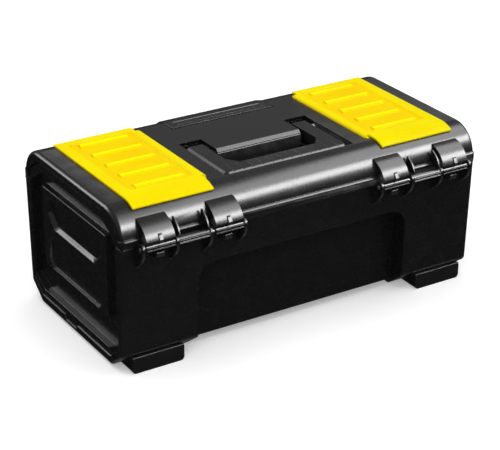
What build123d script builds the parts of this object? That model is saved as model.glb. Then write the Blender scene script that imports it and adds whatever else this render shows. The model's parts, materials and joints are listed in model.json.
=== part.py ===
from build123d import *
import os
from math import cos, radians, sin

os.makedirs("parts", exist_ok=True)

# Part frame: X along the length, Y from the hinge side (-Y) to the latch side (+Y), Z up.
# The origin is under the middle of the whole box, on the surface that the feet stand on.

# Case and lid, outside sizes (mm)
case_length = 394.0
case_depth = 195.0
foot_height = 1.8
parting_height = 129.0
parting_gap = 0.6
lid_height = 161.5
wall = 2.5
lid_wall = 3.0
half_length = case_length / 2
half_depth = case_depth / 2
rim_bottom = parting_height - parting_gap / 2
lid_bottom = parting_height + parting_gap / 2

# Cross-section of the case
base_half_depth = 93.5
base_edge_height = 18.0
floor_half_depth = 72.0
case_edge_radius = 6.0
case_end_radius = 3.0
rim_bead_height = 1.8
rim_bead_reach = 0.7

# Cross-section of the lid: a flat crown that ends in a quarter-circle shoulder on each side
flat_to_hinge = 68.0
flat_to_latch = 68.0
hinge_shoulder = half_depth - flat_to_hinge
latch_shoulder = half_depth - flat_to_latch
lid_end_radius = 4.5
flange_height = 7.7
flange_reach = 2.0
flange_corner = 5.0
flange_bevel = 1.2

# Tall end walls of the case, inside the lid's open ends
end_wall = 10.5
end_half_width = 88.0
end_top = 153.0
end_gap = 1.0
end_set_back = 1.2
end_recess = 8.0
plate_set_in = 2.4
plate_taper = 12.0

# Central recess of each long wall
recess_half_length = 116.5
recess_top = 94.0
recess_depth = 21.5
recess_corner = 17.0
underside_rise = 8.5

# Hinge
pin_y = -106.5
pin_z = 129.5
pin_radius = 2.0
running_gap = 0.05
lug_radius = 5.5
lug_width = 3.0
lug_stations = (76.0, 111.7, 146.4, 180.6)
knuckle_spans = ((78.0, 107.0), (148.4, 177.4))
case_barrel_span = (112.0, 146.0)
knuckle_radius = 4.2
knuckle_foot = 134.7
barrel_ridges = (128.3, 131.1)
ridge_height = 0.8
ridge_reach = 5.1
gusset_stations = (114.2, 143.8)
gusset_thickness = 1.6

# Organiser boxes in the lid and their covers
organiser_inner = 94.2
organiser_outer = 171.0
organiser_half_depth = 66.0
organiser_floor = 133.2
organiser_wall = 2.0
cover_inner = 91.0
cover_outer = 176.5
cover_back = 73.0
cover_lip_turn = 31.0
cover_top = 164.0
cover_gap = 0.3
cover_axis_z = 161.2
cover_barrel = 2.8
cover_stub = 1.3
rib_count = 5
rib_pitch = 27.0
rib_centre = 4.0
rib_radius = 7.0
rib_rise = 0.6
rib_span = (106.0, 157.0)
field_depth = 1.6
field_margin = 7.0
field_centre = 4.0
field_half_depth = 60.0
cover_skin = 2.0
cover_notch = 2.6
barrel_front = -61.5
barrel_back = 63.5

# Carry handle and its pocket
handle_half_width = 69.0
handle_arm = 18.0
handle_front = -66.5
grip_back = -48.0
handle_thickness = 11.0
handle_shift = -1.5
handle_rear = 6.0
grip_bevel = 3.0
arm_rounding = 3.5
handle_axis_y = 0.0
handle_top = lid_height
handle_axis_z = handle_top - handle_thickness / 2
pocket_half_width = 72.0
pocket_front = -67.6
pocket_floor = 148.0
slot_inner = 47.0
slot_back = 17.0
tongue_front = -14.0
tongue_lip = 4.0
well_half_width = 46.0
well_front = -58.0
well_floor = 136.0
handle_pin_radius = 2.5
groove_count = 12
groove_pitch = 10.5
groove_width = 0.8
groove_depth = 0.6

# Latch
latch_half_width = 57.5
latch_gap = 1.0
latch_pad_back = 54.5
latch_opening_back = 53.0
latch_top = 162.0
latch_face = 100.5
latch_corner = 32.0
latch_thickness = 2.6
latch_pad_thickness = 3.4
latch_foot = 114.5
pad_field = (58.0, 68.0)
pad_field_half_width = 50.0
pad_field_depth = 0.7
latch_axis_y = 80.0
latch_axis_z = 153.5
latch_barrel = 4.0
latch_floor = 152.0
latch_well_back = 74.0
latch_well_floor = 139.5
latch_well_front = 92.3
liner_wall = 2.5
tooth_half_width = 22.0
keeper_half_width = 24.0

# Tool tray
tray_half_length = 181.0
tray_half_depth = 87.5
tray_bottom = 96.8
tray_top = 126.0
tray_wall = 2.0
divider_thickness = 1.6
web_half_thickness = 1.5
hand_hole = (100.0, 15.0)
hand_hole_drop = 12.0
slot_rib_offset = 2.3
slot_rib_width = 2.2
divider_places = (-120.0, -60.0, 60.0, 120.0)

# Feet
foot_inner = 133.0
foot_outer = 187.0
foot_face = 96.0
foot_back = 56.0
foot_rounding = 4.0
stud_radius = 3.0
stud_y = 64.0

# The hinge lugs reach further than the latch face, so the case stands off the middle of the box.
case_y = (-(pin_y - lug_radius) - latch_face) / 2


def across(x):
    """Plane across the case at x: its own x runs along +Y and its own y runs up."""
    return Plane(origin=(x, case_y, 0), x_dir=(0, 1, 0), z_dir=(1, 0, 0))


def level(z):
    """Horizontal plane at height z, centred on the case."""
    return Plane(origin=(0, case_y, z))


def end_plane(side, inset):
    """Plane facing out of one end of the case, set in from the end by inset."""
    return Plane(origin=(side * (half_length - inset), case_y, 0), x_dir=(0, side, 0), z_dir=(side, 0, 0))


def octagon(half_width, low, high, low_cut, high_cut):
    """Corners of a box outline whose bottom and top corners are cut off by (across, up) amounts."""
    right = [
        (half_width - low_cut[0], low),
        (half_width, low + low_cut[1]),
        (half_width, high - high_cut[1]),
        (half_width - high_cut[0], high),
    ]
    left = [(-y, z) for y, z in reversed(right)]
    return right + left


def case_section(inset, top):
    """Corners of the case's cross-section, drafted walls and cut bottom edges, set in by inset."""
    slope = (half_depth - base_half_depth) / (parting_height - base_edge_height)
    top_half = half_depth + (top - parting_height) * slope - inset
    edge_up = inset * 0.4
    right = [
        (floor_half_depth - inset * 0.4, foot_height + inset),
        (base_half_depth - inset, base_edge_height + edge_up),
        (top_half, top),
    ]
    return right + [(-y, z) for y, z in reversed(right)]


def lid_section(inset, low):
    """Corners of the lid's cross-section before its shoulders are rounded, set in by inset."""
    side = half_depth - inset
    top = lid_height - inset
    return [(-side, low), (-side, top), (side, top), (side, low)]


def shoulder_point(angle, inset):
    """Point on the latch-side shoulder, at an angle down from the crown, set in by inset."""
    reach = latch_shoulder - inset
    turn = radians(angle)
    return (flat_to_latch + reach * sin(turn), lid_height - latch_shoulder + reach * cos(turn))


# ---------------------------------------------------------------- case body

with BuildPart() as case_cavity:
    with BuildSketch(across(0)) as cavity_section:
        Polygon(*case_section(wall, parting_height + 5), align=None)
        fillet(cavity_section.vertices().group_by(Axis.Y)[1], case_edge_radius)
    extrude(amount=half_length - end_wall, both=True)
    # The long walls step in around the central recesses.
    for side in (-1, 1):
        with BuildSketch(level(0)):
            with Locations((0, side * (half_depth - (recess_depth + wall) / 2))):
                Rectangle(2 * (recess_half_length + wall), recess_depth + wall + 1)
        extrude(amount=recess_top + wall, mode=Mode.SUBTRACT)
    # The floor rises between the feet.
    with BuildSketch(level(0)):
        Rectangle(2 * (recess_half_length + wall), case_depth)
    extrude(amount=underside_rise + wall, mode=Mode.SUBTRACT)
    # Backing of the latch keeper's pocket.
    with BuildSketch(level(parting_height - 22)):
        with Locations((0, half_depth)):
            Rectangle(2 * (keeper_half_width + 10.5), 2 * (half_depth - 89.3))
    extrude(amount=40, mode=Mode.SUBTRACT)

with BuildPart() as case_body:
    with BuildSketch(across(0)) as case_outline:
        Polygon(*case_section(0, rim_bottom), align=None)
        fillet(case_outline.vertices().sort_by(Axis.Y)[0:4], case_edge_radius)
    extrude(amount=half_length, both=True)
    for end_face in case_body.faces().filter_by(Axis.X):
        fillet([edge for edge in end_face.edges() if edge.center().Z < rim_bottom - 1], case_end_radius)
    # Bead along the rim, left out behind the latch.
    with BuildSketch(level(rim_bottom - rim_bead_height)):
        RectangleRounded(case_length, case_depth + 2 * rim_bead_reach, case_end_radius)
        with Locations((0, half_depth + rim_bead_reach)):
            Rectangle(2 * (latch_half_width + 3), 2 * rim_bead_reach, mode=Mode.SUBTRACT)
    extrude(amount=rim_bead_height)
    add(case_cavity.part, mode=Mode.SUBTRACT)
    # Central recess of each long wall, open at the bottom.
    for side in (-1, 1):
        with BuildSketch(Plane(origin=(0, case_y + side * half_depth * 1.1, 0), x_dir=(1, 0, 0),
                               z_dir=(0, -1, 0))) as recess_outline:
            with Locations((0, recess_top / 2)):
                Rectangle(2 * recess_half_length, recess_top)
            fillet(recess_outline.vertices().group_by(Axis.Y)[-1], recess_corner)
        extrude(amount=side * (half_depth * 0.1 + recess_depth), mode=Mode.SUBTRACT)
    # Raised underside between the feet.
    with BuildSketch(level(0)):
        Rectangle(2 * recess_half_length, case_depth + 20)
    extrude(amount=underside_rise, mode=Mode.SUBTRACT)
    for side in (-1, 1):
        # The end wall carries on up into the open end of the lid.
        with BuildSketch(end_plane(side, end_wall)):
            Polygon(*octagon(end_half_width, parting_height - 12, end_top, (0.1, 0.1), (24, 14)), align=None)
        extrude(amount=end_wall - end_set_back)
        # Shallow step around the end, with a small drain notch at its foot.
        with BuildSketch(end_plane(side, end_set_back)):
            Polygon(*octagon(end_half_width, 10.5, end_top + 5, (17, 14), (24, 14)), align=None)
            with Locations((side * 9.5, 9.5)):
                Trapezoid(30, 6, 55, rotation=180)
        extrude(amount=end_set_back + 1, mode=Mode.SUBTRACT)
        # Deep recess inside the step.
        with BuildSketch(end_plane(side, 0)) as end_pocket:
            Polygon(*octagon(86, 18, 145, (19, 10), (25, 15)), align=None)
            fillet(end_pocket.vertices(), 4)
        extrude(amount=-end_recess, mode=Mode.SUBTRACT)
        # Raised plate with sloping edges.
        with BuildSketch(end_plane(side, end_recess)):
            with Locations((0, 88.5)):
                Rectangle(130, 84)
        extrude(amount=end_recess - plate_set_in, taper=plate_taper)
        # Upper pocket of the plate with sloping ledges, and a steeper-sided lower pocket.
        with BuildSketch(end_plane(side, plate_set_in - 0.4)):
            Polygon(*octagon(55, 91, 121, (15, 14), (1, 1)), align=None)
        extrude(amount=-4.2, taper=40, mode=Mode.SUBTRACT)
        with BuildSketch(end_plane(side, plate_set_in - 0.4)):
            Polygon(*octagon(55, 49, 84, (8, 8), (10, 10)), align=None)
        extrude(amount=-2.8, taper=15, mode=Mode.SUBTRACT)
    # Latch keeper: a pocket under the rim with a catch ridge.
    with BuildSketch(level(parting_height - 19.5)):
        with Locations((0, half_depth)):
            Rectangle(2 * (keeper_half_width + 8), 2 * (half_depth - 91.8))
    extrude(amount=30, mode=Mode.SUBTRACT)
    with BuildSketch(across(-keeper_half_width)):
        Polygon((91, 121.6), (92.9, 122.6), (92.9, 124.6), (91, 126), align=None)
    extrude(amount=2 * keeper_half_width)
    # Hinge lugs on the long wall.
    for side in (-1, 1):
        for station in lug_stations:
            with BuildSketch(across(side * station - lug_width / 2)):
                Polygon(
                    (-95.5, 128.0), (-101.5, 128.0), (pin_y, pin_z), (pin_y - lug_radius, pin_z),
                    (-110.8, 123.0), (-107.8, 117.6), (-102.6, 112.2), (-95.5, 107.0), align=None,
                )
                with Locations((pin_y, pin_z)):
                    Circle(lug_radius)
                    Circle(pin_radius + running_gap, mode=Mode.SUBTRACT)
            extrude(amount=lug_width)
        # Barrel between the two middle lugs.
        with BuildSketch(across(side * case_barrel_span[0])):
            with Locations((pin_y, pin_z)):
                Circle(knuckle_radius)
            with Locations(*[(pin_y - ridge_reach / 2, z) for z in barrel_ridges]):
                Rectangle(ridge_reach, ridge_height)
            with Locations((pin_y, pin_z)):
                Circle(pin_radius + running_gap, mode=Mode.SUBTRACT)
        extrude(amount=side * (case_barrel_span[1] - case_barrel_span[0]))
    # Sockets for the feet's studs.
    with Locations(level(foot_height)):
        foot_middle = (foot_inner + foot_outer) / 2
        with Locations(*[(side * foot_middle, end * stud_y) for side in (-1, 1) for end in (-1, 1)]):
            Hole(stud_radius + running_gap, depth=20)
case_body.part.label = "case_body"
export_step(case_body.part, "parts/case_body.step")

# ---------------------------------------------------------------- hinge pins

for name, side in (("left", -1), ("right", 1)):
    pin_start = lug_stations[0] - lug_width / 2 - 1.0
    pin_end = lug_stations[-1] + lug_width / 2 + 1.0
    with BuildPart() as hinge_pin:
        with BuildSketch(across(side * pin_start)):
            with Locations((pin_y, pin_z)):
                Circle(pin_radius)
        extrude(amount=side * (pin_end - pin_start))
        chamfer(hinge_pin.edges(), 0.4)
    hinge_pin.part.label = "hinge_pin_" + name
    export_step(hinge_pin.part, "parts/hinge_pin_" + name + ".step")

# ---------------------------------------------------------------- feet

for end_name, end in (("hinge_side", -1), ("latch_side", 1)):
    for name, side in (("left", -1), ("right", 1)):
        with BuildPart() as foot:
            with BuildSketch(across(side * foot_inner)):
                Polygon(
                    (end * foot_face, 0.0), (end * foot_face, base_edge_height - 1.5),
                    (end * (base_half_depth - 1.6), base_edge_height - 1.5),
                    (end * (floor_half_depth - 1.0), foot_height), (end * foot_back, foot_height),
                    (end * foot_back, 0.0), align=None,
                )
            extrude(amount=side * (foot_outer - foot_inner))
            fillet(foot.edges().filter_by(Axis.Y).group_by(Axis.Z)[0], foot_rounding)
            add(case_body.part, mode=Mode.SUBTRACT)
            with BuildSketch(level(foot_height - 1)):
                with Locations((side * foot_middle, end * stud_y)):
                    Circle(stud_radius)
            extrude(amount=6)
        foot.part.label = "foot_" + end_name + "_" + name
        export_step(foot.part, "parts/foot_" + end_name + "_" + name + ".step")

# ---------------------------------------------------------------- lid shell

with BuildPart() as lid_shell:
    with BuildSketch(across(0)) as lid_outline:
        Polygon(*lid_section(0, lid_bottom), align=None)
        fillet(lid_outline.vertices().group_by(Axis.Y)[-1].sort_by(Axis.X)[0], hinge_shoulder)
        fillet(lid_outline.vertices().group_by(Axis.Y)[-1].sort_by(Axis.X)[-1], latch_shoulder)
    extrude(amount=half_length, both=True)
    for end_face in lid_shell.faces().filter_by(Axis.X):
        fillet([edge for edge in end_face.edges() if edge.center().Z > lid_bottom + 1], lid_end_radius)
    # Flange around the rim.
    with BuildSketch(level(lid_bottom)):
        RectangleRounded(case_length, case_depth + 2 * flange_reach, flange_corner)
    extrude(amount=flange_height - flange_bevel)
    with BuildSketch(level(lid_bottom + flange_height - flange_bevel)):
        RectangleRounded(case_length, case_depth + 2 * flange_reach, flange_corner)
    extrude(amount=flange_bevel, taper=45)
    # Inside of the shell, and the open ends that the case's end walls fill.
    with BuildSketch(across(0)) as lid_inside:
        Polygon(*lid_section(lid_wall, lid_bottom - 5), align=None)
        fillet(lid_inside.vertices().group_by(Axis.Y)[-1].sort_by(Axis.X)[0], hinge_shoulder - lid_wall)
        fillet(lid_inside.vertices().group_by(Axis.Y)[-1].sort_by(Axis.X)[-1], latch_shoulder - lid_wall)
    extrude(amount=half_length - lid_wall, both=True, mode=Mode.SUBTRACT)
    for side in (-1, 1):
        with BuildSketch(end_plane(side, lid_wall + 1)):
            Polygon(
                *octagon(end_half_width + end_gap, 100, end_top + end_gap, (0.1, 0.1), (24.4, 14.3)),
                align=None,
            )
        extrude(amount=lid_wall + 2, mode=Mode.SUBTRACT)
    # Walls that hang from the crown: handle pocket, finger well, organiser boxes, pin bosses.
    with BuildSketch(level(pocket_floor - lid_wall)):
        with Locations((0, (pocket_front + slot_back) / 2)):
            Rectangle(2 * (pocket_half_width + wall), slot_back - pocket_front + 2 * wall)
        with Locations((0, (slot_back + tongue_front) / 2 + 4)):
            Rectangle(2 * (slot_inner - wall), slot_back - tongue_front + 2 * wall, mode=Mode.SUBTRACT)
    extrude(amount=lid_height - 3.5 - pocket_floor + lid_wall)
    with BuildSketch(level(well_floor - wall)):
        with Locations((0, (well_front + tongue_front) / 2)):
            Rectangle(2 * (well_half_width + wall), tongue_front - well_front + 2 * wall)
    extrude(amount=lid_height - 3.5 - well_floor + wall)
    for side in (-1, 1):
        with BuildSketch(level(organiser_floor - organiser_wall)):
            with Locations((side * (organiser_inner + organiser_outer) / 2, 0)):
                Rectangle(
                    organiser_outer - organiser_inner + 2 * organiser_wall,
                    2 * (organiser_half_depth + organiser_wall),
                )
        extrude(amount=lid_height - 3.5 - organiser_floor + organiser_wall)
        with BuildSketch(level(lid_height - 7)):
            with Locations((side * (organiser_inner - 3), 0)):
                Rectangle(12, 2 * (organiser_half_depth + organiser_wall))
            with Locations((side * (pocket_half_width + 4), handle_axis_y)):
                Rectangle(8, 16)
        extrude(amount=5)
        with BuildSketch(level(handle_axis_z - 6)):
            with Locations((side * (pocket_half_width + 4), handle_axis_y)):
                Rectangle(8, 16)
        extrude(amount=8)
    # Liner of the latch opening.
    with BuildSketch(across(-latch_half_width - latch_gap - liner_wall)):
        Polygon(
            (latch_opening_back - liner_wall, lid_height - 2),
            (latch_opening_back - liner_wall, latch_floor - liner_wall),
            (latch_well_back - liner_wall, latch_floor - liner_wall),
            (latch_well_back - liner_wall, latch_well_floor - liner_wall),
            (latch_well_front - liner_wall, latch_well_floor - liner_wall),
            (latch_well_front - liner_wall, lid_bottom),
            (half_depth - 1, lid_bottom),
            *[shoulder_point(angle, lid_wall / 2) for angle in (85, 60, 35, 10)], align=None,
        )
    extrude(amount=2 * (latch_half_width + latch_gap + liner_wall))
    # Handle pocket: grip, two arms, and the finger well between them.
    with BuildSketch(level(pocket_floor)):
        with Locations((0, (pocket_front + tongue_front) / 2)):
            Rectangle(2 * pocket_half_width, tongue_front - pocket_front)
        for side in (-1, 1):
            with Locations((side * (slot_inner + pocket_half_width) / 2, (tongue_front + slot_back) / 2)):
                Rectangle(pocket_half_width - slot_inner, slot_back - tongue_front + 1)
    extrude(amount=30, mode=Mode.SUBTRACT)
    with BuildSketch(level(well_floor)):
        with Locations((0, (well_front + tongue_front) / 2)):
            Rectangle(2 * well_half_width, tongue_front - well_front)
    extrude(amount=40, mode=Mode.SUBTRACT)
    # Sloping lip at the front of the tongue between the handle's arms.
    with BuildSketch(across(-slot_inner)):
        Polygon(
            (tongue_front - 1, lid_height + 1), (tongue_front + tongue_lip, lid_height + 1),
            (tongue_front + tongue_lip, lid_height), (tongue_front, lid_height - tongue_lip),
            (tongue_front - 1, lid_height - tongue_lip), align=None,
        )
    extrude(amount=2 * slot_inner, mode=Mode.SUBTRACT)
    # Organiser boxes, each with two moulded dividers, and the trough that the cover's barrel lies in.
    for side in (-1, 1):
        with BuildSketch(level(organiser_floor)):
            with Locations((side * (organiser_inner + organiser_outer) / 2, 0)):
                Rectangle(organiser_outer - organiser_inner, 2 * organiser_half_depth)
        extrude(amount=40, mode=Mode.SUBTRACT)
        with BuildSketch(level(organiser_floor - 0.5)):
            with Locations(*[(side * (organiser_inner + organiser_outer) / 2, y) for y in (-22, 22)]):
                Rectangle(organiser_outer - organiser_inner + 0.5, organiser_wall)
        extrude(amount=24)
        with BuildSketch(Plane(origin=(0, case_y - 62, 0), x_dir=(1, 0, 0), z_dir=(0, -1, 0))):
            with Locations((side * cover_inner, cover_axis_z)):
                Circle(cover_barrel + 0.4)
        extrude(amount=-126, mode=Mode.SUBTRACT)
        with BuildSketch(Plane(origin=(0, case_y - 66, 0), x_dir=(1, 0, 0), z_dir=(0, -1, 0))):
            with Locations((side * cover_inner, cover_axis_z)):
                Circle(cover_stub + 0.08)
        extrude(amount=-134, mode=Mode.SUBTRACT)
    # Latch opening through the crown, the shoulder and the rim.
    with BuildSketch(across(-latch_half_width - latch_gap)):
        Polygon(
            (latch_opening_back, 175), (latch_opening_back, latch_floor), (latch_well_back, latch_floor),
            (latch_well_back, latch_well_floor), (latch_well_front, latch_well_floor),
            (latch_well_front, 120), (115, 120), (115, 175), align=None,
        )
    extrude(amount=2 * (latch_half_width + latch_gap), mode=Mode.SUBTRACT)
    # Bores for the latch pin and the handle pins.
    with BuildSketch(across(0)):
        with Locations((latch_axis_y, latch_axis_z)):
            Circle(pin_radius + running_gap)
    extrude(amount=latch_half_width + latch_gap + liner_wall, both=True, mode=Mode.SUBTRACT)
    with BuildSketch(across(0)):
        with Locations((handle_axis_y, handle_axis_z)):
            Circle(handle_pin_radius + running_gap)
    extrude(amount=pocket_half_width + 6, both=True, mode=Mode.SUBTRACT)
    # Hinge knuckles: curved covers over a barrel around the pin.
    for side in (-1, 1):
        for near, far in knuckle_spans:
            with BuildSketch(across(side * near)):
                with BuildLine():
                    Line((-86, 149.5), (-90, 152.2))
                    ThreePointArc((-90, 152.2), (-103.0, 146.4), (-110.4, 136.4))
                    Polyline(
                        (-110.4, 136.4), (-110.4, knuckle_foot + 0.8), (-109.6, knuckle_foot),
                        (-96.5, knuckle_foot), (-86, 149.5),
                    )
                make_face()
                with Locations((pin_y, (pin_z + knuckle_foot) / 2 + 0.5)):
                    Rectangle(2 * knuckle_radius * 0.7, knuckle_foot + 1 - pin_z)
                with Locations((pin_y, pin_z)):
                    Circle(knuckle_radius)
                with Locations(*[(pin_y - ridge_reach / 2, z) for z in barrel_ridges]):
                    Rectangle(ridge_reach, ridge_height)
                with Locations((pin_y, pin_z)):
                    Circle(pin_radius + running_gap, mode=Mode.SUBTRACT)
            extrude(amount=side * (far - near))
        # Thin gussets over the middle barrel.
        for station in gusset_stations:
            with BuildSketch(across(side * station - gusset_thickness / 2)):
                with BuildLine():
                    ThreePointArc((-98, 149.3), (-106.3, 142.8), (-110.2, 136))
                    Polyline((-110.2, 136), (-110.2, 135.3), (-96.5, 135.3), (-96.5, 149.3), (-98, 149.3))
                make_face()
            extrude(amount=gusset_thickness)
lid_shell.part.label = "lid_shell"
export_step(lid_shell.part, "parts/lid_shell.step")

# ---------------------------------------------------------------- organiser covers

for name, side in (("left", -1), ("right", 1)):
    with BuildPart() as cover:
        # Flat top, and a front lip that follows the lid's round shoulder.
        with BuildSketch(across(side * cover_inner)):
            with BuildLine():
                arc_centre = (-flat_to_hinge, lid_height - hinge_shoulder)
                lip_top = CenterArc(arc_centre, hinge_shoulder + cover_top - lid_height, 90, cover_lip_turn)
                lip_under = CenterArc(arc_centre, hinge_shoulder + cover_gap, 90, cover_lip_turn)
                Line(lip_top @ 1, lip_under @ 1)
                cover_under = lid_height + cover_gap
                Polyline(lip_top @ 0, (cover_back, cover_top), (cover_back, cover_under), lip_under @ 0)
            make_face()
        extrude(amount=side * (cover_outer - cover_inner))
        # The inner edge is notched back beyond the ends of the hinge barrel.
        with BuildSketch(level(lid_height - 15)):
            for low, high in ((-half_depth, barrel_front), (barrel_back, cover_back + 1)):
                with Locations((side * cover_inner, (low + high) / 2)):
                    Rectangle(2 * cover_notch, high - low)
        extrude(amount=20, mode=Mode.SUBTRACT)
        # Set-in field, its pan hanging into the organiser box, with rounded ribs across it.
        rib_middle = side * (rib_span[0] + rib_span[1]) / 2
        rib_length = rib_span[1] - rib_span[0]
        pan_floor = cover_top - field_depth - cover_skin
        with BuildSketch(level(pan_floor)):
            with Locations((rib_middle, field_centre)):
                Rectangle(rib_length + 2 * field_margin + 3, 2 * field_half_depth + 2.5)
        extrude(amount=cover_skin + 0.5)
        with BuildSketch(level(cover_top - field_depth)):
            with Locations((rib_middle, field_centre)):
                RectangleRounded(rib_length + 2 * field_margin, 2 * field_half_depth, 4)
        extrude(amount=field_depth + 1, taper=-35, mode=Mode.SUBTRACT)
        with BuildSketch(Plane(origin=(side * rib_span[0], case_y + rib_centre, 0), x_dir=(0, side, 0),
                               z_dir=(side, 0, 0))):
            with Locations((0, cover_top + rib_rise - rib_radius)):
                with GridLocations(rib_pitch, 1, rib_count, 1):
                    Circle(rib_radius)
            with Locations((0, pan_floor - rib_radius)):
                Rectangle(2 * half_depth, 2 * rib_radius, mode=Mode.SUBTRACT)
        extrude(amount=rib_length)
        # Rim that hangs into the organiser box.
        with BuildSketch(level(lid_height - 2.6)):
            with Locations((side * (organiser_inner + organiser_outer) / 2, 0)):
                box_width = organiser_outer - organiser_inner
                Rectangle(box_width - 1.6, 2 * organiser_half_depth - 1.2)
                Rectangle(box_width - 5, 2 * organiser_half_depth - 4.6, mode=Mode.SUBTRACT)
        extrude(amount=3.2)
        # Hinge barrel along the inner edge, with a stub at each end.
        with BuildSketch(Plane(origin=(0, case_y + barrel_front, 0), x_dir=(1, 0, 0), z_dir=(0, -1, 0))):
            with Locations((side * cover_inner, cover_axis_z)):
                Circle(cover_barrel)
        extrude(amount=barrel_front - barrel_back)
        with BuildSketch(Plane(origin=(0, case_y - 65, 0), x_dir=(1, 0, 0), z_dir=(0, -1, 0))):
            with Locations((side * cover_inner, cover_axis_z)):
                Circle(cover_stub)
        extrude(amount=-132)
    cover.part.label = "organiser_cover_" + name
    export_step(cover.part, "parts/organiser_cover_" + name + ".step")

# ---------------------------------------------------------------- carry handle

with BuildPart() as carry_handle:
    with BuildSketch(level(handle_top - handle_thickness)) as handle_outline:
        with Locations((handle_shift, 0)):
            Polygon(
                (-handle_half_width, handle_rear), (-handle_half_width, handle_front),
                (handle_half_width, handle_front), (handle_half_width, handle_rear),
                (handle_half_width - handle_arm, handle_rear), (handle_half_width - handle_arm, -36),
                (42, grip_back), (-42, grip_back), (-handle_half_width + handle_arm, -36),
                (-handle_half_width + handle_arm, handle_rear), align=None,
            )
        fillet(handle_outline.vertices().group_by(Axis.Y)[0], 6)
    extrude(amount=handle_thickness)
    # Bevelled front edge on top, rounded below; the rear ends are rounded below to clear the pocket's floor.
    front_edges = carry_handle.edges().filter_by(Axis.X).group_by(Axis.Y)[0]
    chamfer(front_edges.sort_by(Axis.Z)[-1], grip_bevel)
    low_edges = carry_handle.edges().filter_by(Axis.X).group_by(Axis.Z)[0]
    fillet(low_edges.group_by(Axis.Y)[0] + low_edges.group_by(Axis.Y)[-1], arm_rounding)
    # Grip grooves.
    with BuildSketch(level(handle_top - groove_depth)):
        with Locations((handle_shift, (handle_front + grip_back) / 2)):
            with GridLocations(groove_pitch, 1, groove_count, 1):
                Rectangle(groove_width, grip_back - handle_front + 4)
    extrude(amount=2, mode=Mode.SUBTRACT)
    with BuildSketch(across(0)):
        with Locations((handle_axis_y, handle_axis_z)):
            Circle(handle_pin_radius + running_gap)
    extrude(amount=handle_half_width + 5, both=True, mode=Mode.SUBTRACT)
carry_handle.part.label = "carry_handle"
export_step(carry_handle.part, "parts/carry_handle.step")

for name, side in (("left", -1), ("right", 1)):
    with BuildPart() as handle_pin:
        with BuildSketch(across(side * (handle_half_width - handle_arm + 2))):
            with Locations((handle_axis_y, handle_axis_z)):
                Circle(handle_pin_radius)
        extrude(amount=side * (pocket_half_width + 5.5 - handle_half_width + handle_arm - 2))
        chamfer(handle_pin.edges(), 0.4)
    handle_pin.part.label = "handle_pin_" + name
    export_step(handle_pin.part, "parts/handle_pin_" + name + ".step")

# ---------------------------------------------------------------- latch

with BuildPart() as latch_lever:
    inner_face = latch_face - latch_thickness
    inner_top = latch_top - latch_pad_thickness
    with BuildSketch(across(-latch_half_width)) as lever_section:
        Polygon(
            (latch_pad_back, latch_top), (latch_face, latch_top), (latch_face, latch_foot),
            (inner_face, latch_foot), (inner_face, inner_top), (latch_pad_back, inner_top), align=None,
        )
        outer_corner = lever_section.vertices().group_by(Axis.Y)[-1].sort_by(Axis.X)[-1]
        fillet(outer_corner, latch_corner)
        top_inside = lever_section.vertices().filter_by(lambda v: abs(v.Y - inner_top) < 0.1)
        inner_corner = top_inside.sort_by(Axis.X)[-1]
        fillet(inner_corner, latch_corner - latch_thickness)
    extrude(amount=2 * latch_half_width)
    # Set-in field on the press pad.
    with BuildSketch(level(latch_top - pad_field_depth)):
        with Locations((0, (pad_field[0] + pad_field[1]) / 2)):
            Rectangle(2 * pad_field_half_width, pad_field[1] - pad_field[0])
    extrude(amount=2, mode=Mode.SUBTRACT)
    # Barrel around the pin, joined to the underside of the pad.
    with BuildSketch(across(-latch_half_width + 0.5)):
        with Locations((latch_axis_y, latch_axis_z)):
            Circle(latch_barrel)
        with Locations((latch_axis_y, (latch_axis_z + inner_top) / 2)):
            Rectangle(1.6 * latch_barrel, inner_top - latch_axis_z)
    extrude(amount=2 * latch_half_width - 1)
    # Hook tooth.
    with BuildSketch(across(-tooth_half_width)):
        Polygon(
            (inner_face + 0.5, 121.0), (93.4, 121.0), (93.4, 118.6), (95.6, latch_foot),
            (inner_face + 0.5, latch_foot), align=None,
        )
    extrude(amount=2 * tooth_half_width)
    with BuildSketch(across(-latch_half_width)):
        with Locations((latch_axis_y, latch_axis_z)):
            Circle(pin_radius + running_gap)
    extrude(amount=2 * latch_half_width, mode=Mode.SUBTRACT)
latch_lever.part.label = "latch_lever"
export_step(latch_lever.part, "parts/latch_lever.step")

with BuildPart() as latch_pin:
    with BuildSketch(across(0)):
        with Locations((latch_axis_y, latch_axis_z)):
            Circle(pin_radius)
    extrude(amount=latch_half_width + latch_gap + liner_wall - 0.3, both=True)
    chamfer(latch_pin.edges(), 0.4)
latch_pin.part.label = "latch_pin"
export_step(latch_pin.part, "parts/latch_pin.step")

spring_radius = 3.0
spring_wire = 0.8
spring_height = latch_top - latch_pad_thickness - latch_floor
with BuildPart() as latch_spring:
    with BuildLine() as spring_coil:
        Helix(
            pitch=(spring_height - spring_wire - 0.2) / 3, height=spring_height - spring_wire - 0.2,
            radius=spring_radius, center=(0, case_y + 62, latch_floor + spring_wire / 2 + 0.1),
        )
    with BuildSketch(Plane(origin=spring_coil.line @ 0, z_dir=spring_coil.line % 0)):
        Circle(spring_wire / 2)
    sweep(is_frenet=True)
latch_spring.part.label = "latch_spring"
export_step(latch_spring.part, "parts/latch_spring.step")

# ---------------------------------------------------------------- tool tray

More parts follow.
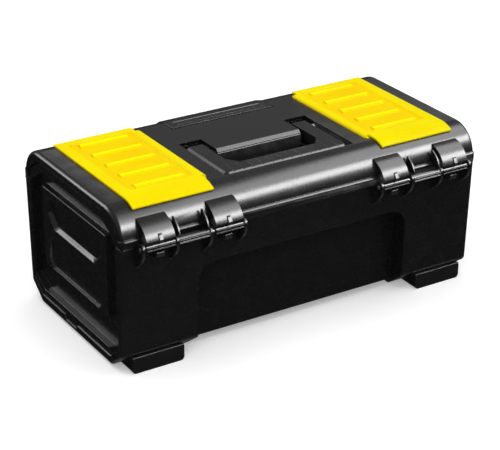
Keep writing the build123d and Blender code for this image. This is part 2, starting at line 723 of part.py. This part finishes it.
with BuildPart() as tool_tray:
    with BuildSketch(level(tray_bottom)):
        RectangleRounded(2 * tray_half_length, 2 * tray_half_depth, 8)
    extrude(amount=tray_top - tray_bottom)
    with BuildSketch(level(tray_bottom + tray_wall)):
        RectangleRounded(2 * (tray_half_length - tray_wall), 2 * (tray_half_depth - tray_wall), 6)
    extrude(amount=40, mode=Mode.SUBTRACT)
    # Slots for the removable dividers: pairs of small ribs on the long wall.
    with BuildSketch(level(tray_bottom)):
        for place in divider_places:
            for across_slot in (-1, 1):
                with Locations((place + across_slot * slot_rib_offset, tray_half_depth - tray_wall - 1.2)):
                    Rectangle(slot_rib_width, 2.6)
    extrude(amount=tray_top - tray_bottom - 3)
tool_tray.part.label = "tool_tray"
export_step(tool_tray.part, "parts/tool_tray.step")

# Lifting web that stands along the middle of the tray, with a hand hole and the facing divider slots.
with BuildPart() as tray_web:
    web_floor = tray_bottom + tray_wall + 0.2
    with BuildSketch(Plane(origin=(0, case_y + web_half_thickness, 0), x_dir=(1, 0, 0), z_dir=(0, -1, 0))):
        with Locations((0, (web_floor + tray_top) / 2)):
            Rectangle(2 * (tray_half_length - tray_wall) - 0.4, tray_top - web_floor)
        with Locations((0, tray_top - hand_hole_drop)):
            RectangleRounded(*hand_hole, 2, mode=Mode.SUBTRACT)
    extrude(amount=2 * web_half_thickness)
    with BuildSketch(level(web_floor)):
        for place in divider_places:
            for across_slot in (-1, 1):
                with Locations((place + across_slot * slot_rib_offset, web_half_thickness + 1.2)):
                    Rectangle(slot_rib_width, 2.6)
    extrude(amount=tray_top - web_floor - 3)
tray_web.part.label = "tray_web"
export_step(tray_web.part, "parts/tray_web.step")

for index, place in enumerate(divider_places):
    with BuildPart() as divider:
        with BuildSketch(across(place - divider_thickness / 2)) as divider_outline:
            divider_height = tray_top - tray_bottom - tray_wall - 1.2
            divider_reach = tray_half_depth - tray_wall - web_half_thickness
            divider_middle = web_half_thickness + divider_reach / 2
            with Locations((divider_middle, tray_bottom + tray_wall + divider_height / 2 + 0.2)):
                Rectangle(divider_reach - 0.5, divider_height)
            fillet(divider_outline.vertices().group_by(Axis.Y)[-1], 3)
        extrude(amount=divider_thickness)
    divider.part.label = "tray_divider_" + str(index + 1)
    export_step(divider.part, "parts/tray_divider_" + str(index + 1) + ".step")
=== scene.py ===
import bpy
import bmesh
import json
from math import cos, radians, sin
from mathutils import Matrix, Vector
from mathutils.bvhtree import BVHTree


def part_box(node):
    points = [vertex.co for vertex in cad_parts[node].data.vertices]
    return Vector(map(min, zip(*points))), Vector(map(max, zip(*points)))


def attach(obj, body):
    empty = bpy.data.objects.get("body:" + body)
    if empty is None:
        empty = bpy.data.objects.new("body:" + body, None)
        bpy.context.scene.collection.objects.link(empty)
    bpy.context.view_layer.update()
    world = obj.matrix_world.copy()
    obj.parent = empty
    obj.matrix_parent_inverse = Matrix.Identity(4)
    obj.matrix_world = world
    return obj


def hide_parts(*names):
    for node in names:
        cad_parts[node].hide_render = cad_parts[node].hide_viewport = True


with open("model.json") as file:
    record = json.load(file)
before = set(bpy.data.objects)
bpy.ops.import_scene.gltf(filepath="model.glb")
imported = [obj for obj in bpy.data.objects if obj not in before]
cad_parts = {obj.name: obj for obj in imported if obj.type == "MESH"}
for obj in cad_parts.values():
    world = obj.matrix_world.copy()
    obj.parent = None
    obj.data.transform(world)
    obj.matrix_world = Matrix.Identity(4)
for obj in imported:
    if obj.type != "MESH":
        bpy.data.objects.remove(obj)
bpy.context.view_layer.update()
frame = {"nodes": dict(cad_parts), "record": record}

MM = 0.001
CASE_Y = sum(v.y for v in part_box("tool_tray")) / 2
COVER_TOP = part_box("organiser_cover_left")[1].z - 0.6 * MM
# Level and front edge of the covers' sunken field, which the yellow finish paints orange as shade.
FIELD_LEVEL = COVER_TOP - 1.6 * MM
FIELD_FRONT = (-53.5 * MM, -50.0 * MM)


# ------------------------------------------------------------------ camera

def aim_camera(target, azimuth, elevation, roll, distance, lens):
    """Place the camera on a sphere around the target, in the directions a studio would note down."""
    az, el, turn = radians(azimuth), radians(elevation), radians(roll)
    back = Vector((sin(az) * cos(el), -cos(az) * cos(el), sin(el)))
    right = Vector((cos(az), sin(az), 0))
    up = back.cross(right)
    tilted_right = right * cos(turn) + up * sin(turn)
    tilted_up = up * cos(turn) - right * sin(turn)
    camera = bpy.data.objects.new("camera", bpy.data.cameras.new("camera"))
    camera.data.lens = lens
    camera.data.clip_end = 50
    camera.matrix_world = Matrix.Translation(target + back * distance) @ Matrix(
        (tilted_right, tilted_up, back)).transposed().to_4x4()
    bpy.context.scene.collection.objects.link(camera)
    bpy.context.scene.camera = camera


aim_camera(Vector((-0.0022, CASE_Y, 0.0662)), -32.161, 25.406, 0.31, 1.660, 121.0)


# ------------------------------------------------------------------ shader writing

class Value:
    """A shader socket that takes part in arithmetic, adding its Math nodes as it goes."""

    def __init__(self, tree, socket):
        self.tree = tree
        self.socket = socket

    def math(self, operation, *others, flip=False, clamp=False):
        node = self.tree.nodes.new("ShaderNodeMath")
        node.operation = operation
        node.use_clamp = clamp
        terms = [self, *others]
        if flip:
            terms.reverse()
        for socket, term in zip(node.inputs, terms):
            if isinstance(term, Value):
                self.tree.links.new(term.socket, socket)
            else:
                socket.default_value = term
        return Value(self.tree, node.outputs[0])

    def __add__(self, other):
        return self.math("ADD", other)

    __radd__ = __add__

    def __mul__(self, other):
        return self.math("MULTIPLY", other)

    __rmul__ = __mul__

    def __sub__(self, other):
        return self.math("SUBTRACT", other)

    def __rsub__(self, other):
        return self.math("SUBTRACT", other, flip=True)

    def __truediv__(self, other):
        return self.math("DIVIDE", other)

    def clamped(self):
        return self.math("ADD", 0.0, clamp=True)

    def smooth(self, low, high):
        """0 below low, 1 above high, eased between."""
        t = ((self - low) / (high - low)).clamped()
        return t * t * (3.0 - 2.0 * t)


# Where a Mix node keeps the factor and the two colours among its inputs, when it mixes colour.
COLOUR_MIX_INPUTS = (0, 6, 7)


class Finish:
    """A node material: one Principled shader and the nodes that drive it."""

    def __init__(self, name, **plain):
        self.material = bpy.data.materials.new(name)
        self.material.use_nodes = True
        self.tree = self.material.node_tree
        self.shader = self.tree.nodes["Principled BSDF"]
        for socket, value in plain.items():
            self.shader.inputs[socket.replace("_", " ")].default_value = value

    def node(self, kind, settings=None, out=0, **inputs):
        """Any other node: its settings first, then its inputs, as values or links."""
        node = self.tree.nodes.new(kind)
        for name, value in (settings or {}).items():
            setattr(node, name, value)
        for name, value in inputs.items():
            socket = node.inputs[name.replace("_", " ")]
            if isinstance(value, Value):
                self.tree.links.new(value.socket, socket)
            else:
                socket.default_value = value
        return Value(self.tree, node.outputs[out])

    def place(self):
        """Object coordinates, in metres."""
        return self.node("ShaderNodeTexCoord", out="Object")

    def noise(self, scale, detail=2.0, roughness=0.5, place=None):
        return self.node("ShaderNodeTexNoise", out="Fac", Vector=place or self.place(), Scale=scale,
                         Detail=detail, Roughness=roughness)

    def mix(self, factor, first, second):
        """Colour mix of two colours."""
        node = self.tree.nodes.new("ShaderNodeMix")
        node.data_type = "RGBA"
        for place, value in zip(COLOUR_MIX_INPUTS, (factor, first, second)):
            socket = node.inputs[place]
            if isinstance(value, Value):
                self.tree.links.new(value.socket, socket)
            else:
                socket.default_value = value if socket.type == "VALUE" else (*value, 1.0)
        return Value(self.tree, node.outputs[2])

    def drive(self, **inputs):
        """Link values into the shader."""
        for name, value in inputs.items():
            self.tree.links.new(value.socket, self.shader.inputs[name.replace("_", " ")])

    def bump(self, height, strength, distance):
        normal = self.node("ShaderNodeBump", Strength=strength, Distance=distance, Height=height)
        self.tree.links.new(normal.socket, self.shader.inputs["Normal"])


# ------------------------------------------------------------------ studio

def soft_light(name, place, target, width, height, power, reflects=True, fills=True):
    """A soft box; some only draw reflections and some only fill."""
    lamp = bpy.data.lights.new(name, "AREA")
    lamp.shape = "RECTANGLE"
    lamp.size, lamp.size_y = width, height
    lamp.energy = power
    light = bpy.data.objects.new(name, lamp)
    light.location = place
    light.rotation_euler = (Vector(target) - Vector(place)).to_track_quat("-Z", "Y").to_euler()
    light.visible_glossy = reflects
    light.visible_diffuse = fills
    bpy.context.scene.collection.objects.link(light)
    return light


def surround(high, low, under):
    """Soft grey room: bright overhead, dark at the level of the table, paler again straight below."""
    world = bpy.data.worlds.new("surround")
    world.use_nodes = True
    tree = world.node_tree
    background = tree.nodes["Background"]
    background.inputs["Color"].default_value = (1, 1, 1, 1)
    place = tree.nodes.new("ShaderNodeTexCoord")
    parts = tree.nodes.new("ShaderNodeSeparateXYZ")
    tree.links.new(place.outputs["Generated"], parts.inputs[0])
    height = Value(tree, parts.outputs["Z"])
    strength = height.smooth(-0.1, 0.5) * (high - low) + (0.0 - height).smooth(0.5, 0.85) * under + low
    tree.links.new(strength.socket, background.inputs["Strength"])
    bpy.context.scene.world = world


def studio():
    """Pale floor, a softly lit room, and soft boxes overhead."""
    floor_mesh = bpy.data.meshes.new("floor")
    floor_mesh.from_pydata([(-6, -6, 0), (6, -6, 0), (6, 6, 0), (-6, 6, 0)], [], [(0, 1, 2, 3)])
    floor = bpy.data.objects.new("floor", floor_mesh)
    bpy.context.scene.collection.objects.link(floor)
    floor.visible_glossy = False
    paper = Finish("paper", Roughness=0.9, Base_Color=(0.92, 0.92, 0.92, 1), Emission_Strength=0.3,
                   Emission_Color=(1, 1, 1, 1))
    floor.data.materials.append(paper.material)
    surround(0.33, 0.015, 0.2)
    soft_light("ceiling", (0, 0, 2.6), (0, 0, 0), 3.4, 3.4, 62, reflects=False)
    soft_light("front_fill", (-1.2, -1.9, 1.5), (0, 0, 0.05), 1.6, 1.6, 14, reflects=False)
    # Two long strips draw the highlight along the lid's rounded shoulder, brightest at its foot. A third,
    # beside and behind the left end, draws the edges of the end frame.
    soft_light("shoulder_strip", (0.72, -1.02, 0.98), (0, -0.09, 0.14), 2.0, 0.42, 62, fills=False)
    soft_light("upper_strip", (0.76, -0.52, 1.42), (0, -0.08, 0.14), 2.0, 0.60, 21, fills=False)
    soft_light("end_strip", (-1.1, 1.25, 0.75), (-0.19, 0, 0.1), 0.8, 0.9, 13, fills=False)
    bpy.context.scene.view_settings.view_transform = "Standard"


studio()


# ------------------------------------------------------------------ finishes

def moulded_black(name, base=0.012, roughness=0.3, grain=0.5, scuff=0.3):
    """Black polypropylene: fine grain, faint sink waves, edges painted pale as rub wear and as a painted
    edge highlight, scuffs and a little dust.
    """
    finish = Finish(name)
    place = finish.place()
    waves = finish.noise(16, detail=2, place=place)
    cloud = finish.noise(55, detail=4, roughness=0.6, place=place)
    pores = finish.noise(2600, detail=1, place=place)
    scratch_place = finish.node("ShaderNodeMapping", Vector=place, Rotation=(0.1, 0.2, 0.5),
                                Scale=(1, 14, 6))
    scratches = finish.noise(90, detail=3, roughness=0.7, place=scratch_place).smooth(0.64, 0.76) * scuff
    corners = finish.node("ShaderNodeNewGeometry", out="Pointiness").smooth(0.54, 0.62)
    # Edges and corners are painted paler: partly rub wear, partly a painted highlight where edges catch the
    # light.
    rubbed_and_edge_highlight = corners * (cloud.smooth(0.35, 0.65) * 0.5 + 0.4)
    dust = cloud.smooth(0.55, 0.85) * 0.2
    # Dust, scratches, rub wear and the painted edge highlight all pale the base colour towards grey.
    finish.drive(Base_Color=finish.mix(((dust + scratches) * 0.2 + rubbed_and_edge_highlight).clamped(),
                                       (base, base, base * 1.06), (0.075, 0.075, 0.077)))
    finish.drive(Roughness=(cloud * 0.12 + scratches * 0.15 + rubbed_and_edge_highlight * 0.1 + (roughness - 0.06)).clamped())
    finish.bump(pores * (0.16 * grain) + waves * 0.9 + scratches * 0.05, 0.3, 0.00025)
    return finish.material


def moulded_yellow(name):
    """Glossy yellow polypropylene: painted shade makes the sunken field between the ribs orange, a painted
    highlight makes the rib tops paler, with warmer flow marks and light handling marks.
    """
    finish = Finish(name, Specular_IOR_Level=0.02)
    place = finish.place()
    cloud = finish.noise(24, detail=3, place=place)
    pores = finish.noise(2200, detail=1, place=place)
    marks = finish.noise(130, detail=4, roughness=0.7, place=place).smooth(0.62, 0.8)
    along = finish.node("ShaderNodeSeparateXYZ", out="Y", Vector=place)
    height = finish.node("ShaderNodeSeparateXYZ", out="Z", Vector=place)
    # Painted shade: the sunken field between the ribs, below the rib tops and behind the front lip, is mixed
    # towards orange.
    painted_field_shade = 1.0 - height.smooth(FIELD_LEVEL + 0.3 * MM, COVER_TOP - 0.2 * MM)
    painted_field_shade = painted_field_shade * along.smooth(*FIELD_FRONT)
    # Painted highlight: the tops of the ribs are mixed towards a pale yellow.
    painted_rib_highlight = height.smooth(COVER_TOP - 0.1 * MM, COVER_TOP + 0.5 * MM)
    flow = cloud.smooth(0.35, 0.7) * 0.22
    # Flow marks and the painted shade of the field together give the warmer, orange colour.
    dull = finish.mix((flow + painted_field_shade * 0.45).clamped(), (0.93, 0.79, 0.0), (0.93, 0.56, 0.0))
    base = finish.mix(painted_rib_highlight, dull, (0.98, 0.95, 0.0))
    finish.drive(Base_Color=base, Roughness=(0.24 + cloud * 0.1 + marks * 0.12))
    finish.bump(pores * 0.1 + cloud * 0.4, 0.25, 0.0002)
    return finish.material


def drawn_steel(name):
    """Drawn steel rod: fine lines around it, duller where it has been handled."""
    finish = Finish(name, Metallic=1.0)
    place = finish.place()
    lines = finish.node("ShaderNodeMapping", Vector=place, Scale=(1.0, 0.05, 0.05))
    drawn = finish.noise(3000, detail=2, place=lines)
    dull = finish.noise(70, detail=3, place=place)
    finish.drive(Base_Color=finish.mix(dull, (0.42, 0.42, 0.43), (0.6, 0.6, 0.61)),
                 Roughness=0.24 + drawn * 0.12 + dull * 0.12)
    finish.bump(drawn, 0.2, 0.00005)
    return finish.material


FINISHES = {
    "black_plastic": moulded_black("black_polypropylene", 0.0055, 0.27),
    "handle_plastic": moulded_black("satin_black_handle", 0.0065, 0.34, grain=1.2),
    "foot_plastic": moulded_black("matt_black_foot", 0.003, 0.36, grain=1.2),
    "tray_plastic": moulded_black("tray_black", 0.012, 0.4, grain=1.0),
    "yellow_plastic": moulded_yellow("yellow_polypropylene"),
    "steel": drawn_steel("drawn_steel"),
}


# ------------------------------------------------------------------ pieces

# Vertices closer than these are one vertex: in the CAD mesh, and after its edges are eased.
CAD_WELD = 2e-6
EASED_WELD = 5e-6
# A bevel vertex further from the CAD surface than this share of the radius is a stray one.
STRAY_SHARE = 0.75
FLAT_FACE_WEIGHT = 70


def link(name, mesh):
    piece = bpy.data.objects.new(name, mesh)
    bpy.context.scene.collection.objects.link(piece)
    return piece


def baked(piece):
    """Turn a piece with modifiers into a plain mesh."""
    graph = bpy.context.evaluated_depsgraph_get()
    mesh = bpy.data.meshes.new_from_object(piece.evaluated_get(graph))
    piece.modifiers.clear()
    piece.data = mesh
    return piece


def slot_of(node):
    return next(part["material_slot"] for part in frame["record"]["subparts"] if part["node"] == node)


def body_with(node):
    return next(b for b, members in frame["record"]["behaviour"]["bodies"].items() if node in members)


def tidied(piece, original, reach, low, high):
    """Pull stray bevel corners back onto the original surface, inside its box, and drop the slivers."""
    work = bmesh.new()
    work.from_mesh(piece.data)
    for vert in work.verts:
        spot, _, _, distance = original.find_nearest(vert.co)
        if distance > reach:
            vert.co = spot
        vert.co = [min(max(value, least), most) for value, least, most in zip(vert.co, low, high)]
    bmesh.ops.remove_doubles(work, verts=work.verts, dist=EASED_WELD)
    bmesh.ops.dissolve_degenerate(work, edges=work.edges, dist=EASED_WELD)
    for face in work.faces:
        face.smooth = True
    work.to_mesh(piece.data)
    work.free()


def eased_copy(node, radius, segments=2, angle=28):
    """The visible moulding for a CAD node: its own surfaces with every edge eased, as moulds leave them."""
    slot = slot_of(node)
    mesh = frame["nodes"][node].data.copy()
    work = bmesh.new()
    work.from_mesh(mesh)
    bmesh.ops.remove_doubles(work, verts=work.verts, dist=CAD_WELD)
    original = BVHTree.FromBMesh(work)
    low = [min(vert.co[axis] for vert in work.verts) for axis in range(3)]
    high = [max(vert.co[axis] for vert in work.verts) for axis in range(3)]
    for face in work.faces:
        face.smooth = True
        face.material_index = 0
    for edge in work.edges:
        edge.smooth = True
    work.to_mesh(mesh)
    work.free()
    piece = link(node + "_moulding", mesh)
    mesh.materials.clear()
    mesh.materials.append(FINISHES[slot])
    bevel = piece.modifiers.new("eased", "BEVEL")
    bevel.width = radius
    bevel.segments = segments
    bevel.limit_method = "ANGLE"
    bevel.angle_limit = radians(angle)
    bevel.use_clamp_overlap = False
    baked(piece)
    tidied(piece, original, radius * STRAY_SHARE, low, high)
    flats = piece.modifiers.new("flats", "WEIGHTED_NORMAL")
    flats.mode = "FACE_AREA_WITH_ANGLE"
    flats.weight = FLAT_FACE_WEIGHT
    baked(piece)
    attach(piece, body_with(node))
    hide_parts(node)
    return piece


EASE = {"case_body": 0.5, "lid_shell": 0.2, "carry_handle": 0.22, "organiser_cover_left": 0.3,
        "organiser_cover_right": 0.3, "latch_lever": 0.5, "tool_tray": 0.35}
for node in frame["nodes"]:
    if node in EASE or node.startswith("foot") or node.startswith("tray_"):
        eased_copy(node, EASE.get(node, 0.4) * MM)
    else:
        frame["nodes"][node].data.materials.clear()
        frame["nodes"][node].data.materials.append(FINISHES[slot_of(node)])


# ------------------------------------------------------------------ repeated details

def solid_from(name, outline, across, bevel):
    """A small moulded block: a side outline in (y, z) millimetres, swept across in x, edges eased."""
    work = bmesh.new()
    rings = []
    for x in (-across / 2, across / 2):
        rings.append([work.verts.new((x * MM, y * MM, z * MM)) for y, z in outline])
    work.faces.new(reversed(rings[0]))
    work.faces.new(rings[1])
    for index in range(len(outline)):
        after = (index + 1) % len(outline)
        work.faces.new((rings[0][index], rings[0][after], rings[1][after], rings[1][index]))
    bmesh.ops.recalc_face_normals(work, faces=work.faces)
    bmesh.ops.bevel(work, geom=work.edges[:], offset=bevel * MM, segments=2, affect="EDGES", profile=0.6)
    mesh = bpy.data.meshes.new(name)
    work.to_mesh(mesh)
    work.free()
    for face in mesh.polygons:
        face.use_smooth = True
    return bpy.data.objects.new(name, mesh)


def row(name, unit, material, body, start, count, pitch, copies=(0.0,)):
    """Geometry Nodes row: the unit repeated along X from each start, made real and given its material."""
    group = bpy.data.node_groups.new(name + "_row", "GeometryNodeTree")
    group.interface.new_socket("Count", in_out="INPUT", socket_type="NodeSocketInt")
    group.interface.new_socket("Pitch", in_out="INPUT", socket_type="NodeSocketFloat")
    group.interface.new_socket("Geometry", in_out="OUTPUT", socket_type="NodeSocketGeometry")
    nodes = group.nodes
    given = nodes.new("NodeGroupInput")
    result = nodes.new("NodeGroupOutput")
    joined = nodes.new("GeometryNodeJoinGeometry")
    source = nodes.new("GeometryNodeObjectInfo")
    source.inputs["Object"].default_value = unit
    step = nodes.new("ShaderNodeCombineXYZ")
    group.links.new(given.outputs["Pitch"], step.inputs["X"])
    for shift in copies:
        line = nodes.new("GeometryNodeMeshLine")
        line.inputs["Start Location"].default_value = (start[0] + shift, start[1], start[2])
        group.links.new(given.outputs["Count"], line.inputs["Count"])
        group.links.new(step.outputs[0], line.inputs["Offset"])
        group.links.new(line.outputs[0], joined.inputs[0])
    placed = nodes.new("GeometryNodeInstanceOnPoints")
    real = nodes.new("GeometryNodeRealizeInstances")
    dressed = nodes.new("GeometryNodeSetMaterial")
    dressed.inputs["Material"].default_value = material
    group.links.new(joined.outputs[0], placed.inputs["Points"])
    group.links.new(source.outputs["Geometry"], placed.inputs["Instance"])
    group.links.new(placed.outputs[0], real.inputs[0])
    group.links.new(real.outputs[0], dressed.inputs[0])
    group.links.new(dressed.outputs[0], result.inputs[0])
    piece = link(name, bpy.data.meshes.new(name))
    made = piece.modifiers.new("row", "NODES")
    made.node_group = group
    for item in group.interface.items_tree:
        if item.in_out == "INPUT" and item.name == "Count":
            made[item.identifier] = count
        if item.in_out == "INPUT" and item.name == "Pitch":
            made[item.identifier] = pitch
    baked(piece)
    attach(piece, body)
    return piece


BLACK = FINISHES["black_plastic"]
BUMP_CENTRES = (-162.9 * MM, -92.5 * MM, 92.5 * MM, 162.9 * MM)

# Raised marks on the hinge covers, and the stops below them on the case.
mark = solid_from("hinge_mark", ((-107.6, 141.8), (-109.2, 140.8), (-111.9, 136.9), (-111.9, 134.4),
                                 (-107.6, 134.4)), 4.0, 0.2)
row("hinge_marks", mark, BLACK, "lid", (0, CASE_Y, 0), 1, 0.0, BUMP_CENTRES)
stop = solid_from("hinge_stop", ((-96.6, 123.6), (-108.4, 123.6), (-109.0, 121.6), (-108.0, 118.8),
                                 (-96.4, 114.6)), 8.0, 0.4)
row("hinge_stops", stop, BLACK, "case", (0, CASE_Y, 0), 1, 0.0, BUMP_CENTRES)

# Fine grip ribs along the latch's press pad.
PAD_RIBS = 41
PAD_RIB_PITCH = 2.35
PAD_RIB_WIDTH = 1.3
PAD_RIB_START = -47
pad_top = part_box("latch_lever")[1].z / MM
pad_outline = ((60.2, pad_top - 0.9), (60.2, pad_top - 0.25), (60.6, pad_top - 0.05),
               (65.4, pad_top - 0.05), (65.8, pad_top - 0.25), (65.8, pad_top - 0.9))
pad_rib = solid_from("pad_rib", pad_outline, PAD_RIB_WIDTH, 0.2)
row("latch_pad_ribs", pad_rib, BLACK, "latch", (PAD_RIB_START * MM, CASE_Y, 0), PAD_RIBS, PAD_RIB_PITCH * MM)
